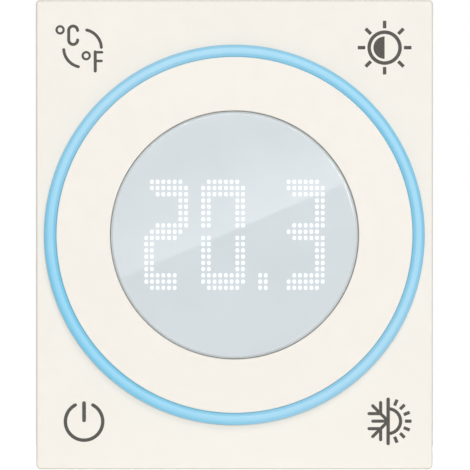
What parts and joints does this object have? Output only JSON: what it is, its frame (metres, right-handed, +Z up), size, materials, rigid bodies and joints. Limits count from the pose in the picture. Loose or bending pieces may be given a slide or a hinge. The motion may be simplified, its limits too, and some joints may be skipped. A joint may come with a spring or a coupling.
{
  "type": "wall thermostat",
  "caption": "Flush two-module wall thermostat with a free-turning dial, glowing blue ring, round dot-matrix window, touch symbols and rear screw terminals.",
  "frame": {"origin": "centre of the mounting shoulder's back plane, where the insert meets its support frame", "axes": "+X right, +Z up, +Y into the wall; the dial's axis is Y and the display faces -Y"},
  "size_m": [0.0448, 0.0408, 0.053],
  "materials": {
    "cover_cream": "fine matte moulded cream",
    "dial_cream": "smooth matte cream",
    "light_ring": "glossy opal, lit blue from inside",
    "window_lens": "glossy smoked grey-blue",
    "diffuser": "satin light-spreading film",
    "acetal": "satin white acetal",
    "white_plastic": "moulded off-white",
    "housing_grey": "moulded light grey, fine texture",
    "black_plastic": "moulded black",
    "circuit_board": "green solder mask",
    "relay_blue": "blue moulded",
    "ferrite": "dark varnished laminations",
    "fuse_brown": "dark brown moulded",
    "amber_bead": "epoxy bead",
    "led_white": "white lamp body",
    "steel": "zinc-plated",
    "plated_steel": "zinc-plated, slotted",
    "silver_metal": "tinned",
    "brass": "plain brass"
  },
  "bodies": {
    "insert": {"front_cover": "cover_cream", "dial_glide_ring": "black_plastic", "display_panel": "black_plastic", "display_header": "black_plastic", "processor_chip": "black_plastic", "encoder_body": "black_plastic", "board_header": "black_plastic", "capacitor": "black_plastic", "display_hub": "white_plastic", "chassis": "white_plastic", "display_lens": "window_lens", "display_diffuser": "diffuser", "front_board": "circuit_board", "main_board": "circuit_board", "radio_module": "silver_metal", "temperature_sensor": "amber_bead", "touch_spring_1": "steel", "touch_spring_2": "steel", "touch_spring_3": "steel", "touch_spring_4": "steel", "ring_led_1": "led_white", "ring_led_2": "led_white", "ring_led_3": "led_white", "ring_led_4": "led_white", "ring_led_5": "led_white", "ring_led_6": "led_white", "ring_led_7": "led_white", "ring_led_8": "led_white", "rear_housing": "housing_grey", "relay": "relay_blue", "varistor": "relay_blue", "transformer": "ferrite", "fuse": "fuse_brown", "housing_screw_1": "steel", "housing_screw_2": "steel", "housing_screw_3": "steel", "housing_screw_4": "steel", "terminal_contact_1": "brass", "terminal_contact_2": "brass", "terminal_contact_3": "brass", "terminal_contact_4": "brass", "terminal_contact_5": "brass", "terminal_contact_6": "brass"},
    "dial": {"dial_carrier": "acetal", "dial_face": "dial_cream", "dial_light_ring": "light_ring"},
    "pinion": {"encoder_pinion": "acetal"},
    "screw_1": {"terminal_screw_1": "plated_steel"},
    "cage_1": {"terminal_cage_1": "silver_metal"},
    "screw_2": {"terminal_screw_2": "plated_steel"},
    "cage_2": {"terminal_cage_2": "silver_metal"},
    "screw_3": {"terminal_screw_3": "plated_steel"},
    "cage_3": {"terminal_cage_3": "silver_metal"},
    "screw_4": {"terminal_screw_4": "plated_steel"},
    "cage_4": {"terminal_cage_4": "silver_metal"},
    "screw_5": {"terminal_screw_5": "plated_steel"},
    "cage_5": {"terminal_cage_5": "silver_metal"},
    "screw_6": {"terminal_screw_6": "plated_steel"},
    "cage_6": {"terminal_cage_6": "silver_metal"}
  },
  "joints": [
    {"name": "dial_turn", "type": "hinge", "parent": "insert", "child": "dial", "pos_m": [0, -0.007, 0], "axis": [0, 1, 0], "continuous": true},
    {"name": "pinion_turn", "type": "hinge", "parent": "insert", "child": "pinion", "pos_m": [0, -0.0045, -0.0186], "axis": [0, 1, 0], "continuous": true},
    {"name": "screw_1_turn", "type": "hinge", "parent": "insert", "child": "screw_1", "pos_m": [-0.009, 0.0264, 0.0211], "axis": [0, 0, -1], "range_deg": [0, 1728]},
    {"name": "cage_1_rise", "type": "slide", "parent": "insert", "child": "cage_1", "axis": [0, 0, 1], "range_m": [0, 0.0024]},
    {"name": "screw_2_turn", "type": "hinge", "parent": "insert", "child": "screw_2", "pos_m": [0, 0.0264, 0.0211], "axis": [0, 0, -1], "range_deg": [0, 1728]},
    {"name": "cage_2_rise", "type": "slide", "parent": "insert", "child": "cage_2", "axis": [0, 0, 1], "range_m": [0, 0.0024]},
    {"name": "screw_3_turn", "type": "hinge", "parent": "insert", "child": "screw_3", "pos_m": [0.009, 0.0264, 0.0211], "axis": [0, 0, -1], "range_deg": [0, 1728]},
    {"name": "cage_3_rise", "type": "slide", "parent": "insert", "child": "cage_3", "axis": [0, 0, 1], "range_m": [0, 0.0024]},
    {"name": "screw_4_turn", "type": "hinge", "parent": "insert", "child": "screw_4", "pos_m": [0.009, 0.0264, -0.0211], "axis": [0, 0, 1], "range_deg": [0, 1728]},
    {"name": "cage_4_rise", "type": "slide", "parent": "insert", "child": "cage_4", "axis": [0, 0, -1], "range_m": [0, 0.0024]},
    {"name": "screw_5_turn", "type": "hinge", "parent": "insert", "child": "screw_5", "pos_m": [0, 0.0264, -0.0211], "axis": [0, 0, 1], "range_deg": [0, 1728]},
    {"name": "cage_5_rise", "type": "slide", "parent": "insert", "child": "cage_5", "axis": [0, 0, -1], "range_m": [0, 0.0024]},
    {"name": "screw_6_turn", "type": "hinge", "parent": "insert", "child": "screw_6", "pos_m": [-0.009, 0.0264, -0.0211], "axis": [0, 0, 1], "range_deg": [0, 1728]},
    {"name": "cage_6_rise", "type": "slide", "parent": "insert", "child": "cage_6", "axis": [0, 0, -1], "range_m": [0, 0.0024]}
  ],
  "couplings": [
    {"joint": "pinion_turn", "follows": "dial_turn", "ratio": -4.1667},
    {"joint": "screw_1_turn", "follows": "cage_1_rise", "rad_per_m": 12566},
    {"joint": "screw_2_turn", "follows": "cage_2_rise", "rad_per_m": 12566},
    {"joint": "screw_3_turn", "follows": "cage_3_rise", "rad_per_m": 12566},
    {"joint": "screw_4_turn", "follows": "cage_4_rise", "rad_per_m": 12566},
    {"joint": "screw_5_turn", "follows": "cage_5_rise", "rad_per_m": 12566},
    {"joint": "screw_6_turn", "follows": "cage_6_rise", "rad_per_m": 12566}
  ]
}
